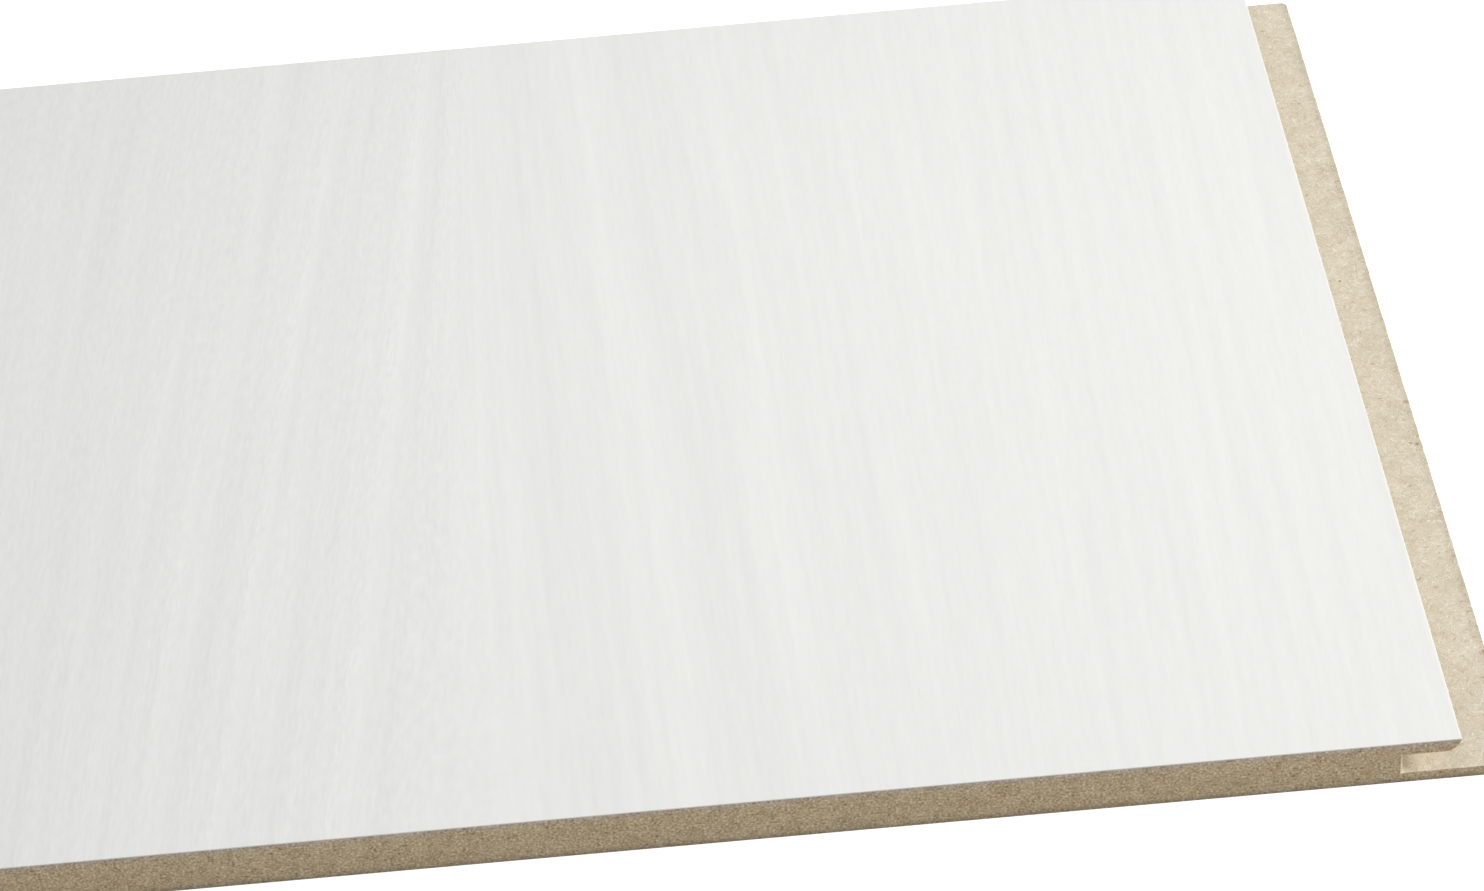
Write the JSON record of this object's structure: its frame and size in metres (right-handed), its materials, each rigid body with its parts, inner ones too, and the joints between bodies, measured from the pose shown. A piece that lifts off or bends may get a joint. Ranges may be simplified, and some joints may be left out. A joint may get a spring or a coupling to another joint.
{
  "type": "mdf wall panel",
  "caption": "Flat MDF wall panel with a white wood-grain film on its face, a groove and long fixing lip along one edge and a tongue along the other.",
  "frame": {"origin": "middle of the panel's whole outline, lip and tongue counted, at the level of its back", "axes": "+X across the panel from the tongue to the groove and its lip, +Y along the grain and the profiled edges, +Z from the back to the white face"},
  "size_m": [0.6248, 0.3, 0.012],
  "materials": {
    "raw_mdf": "matte",
    "white_film": "matte"
  },
  "bodies": {
    "root": {"mdf_board": "raw_mdf", "face_film": "white_film"}
  },
  "joints": []
}
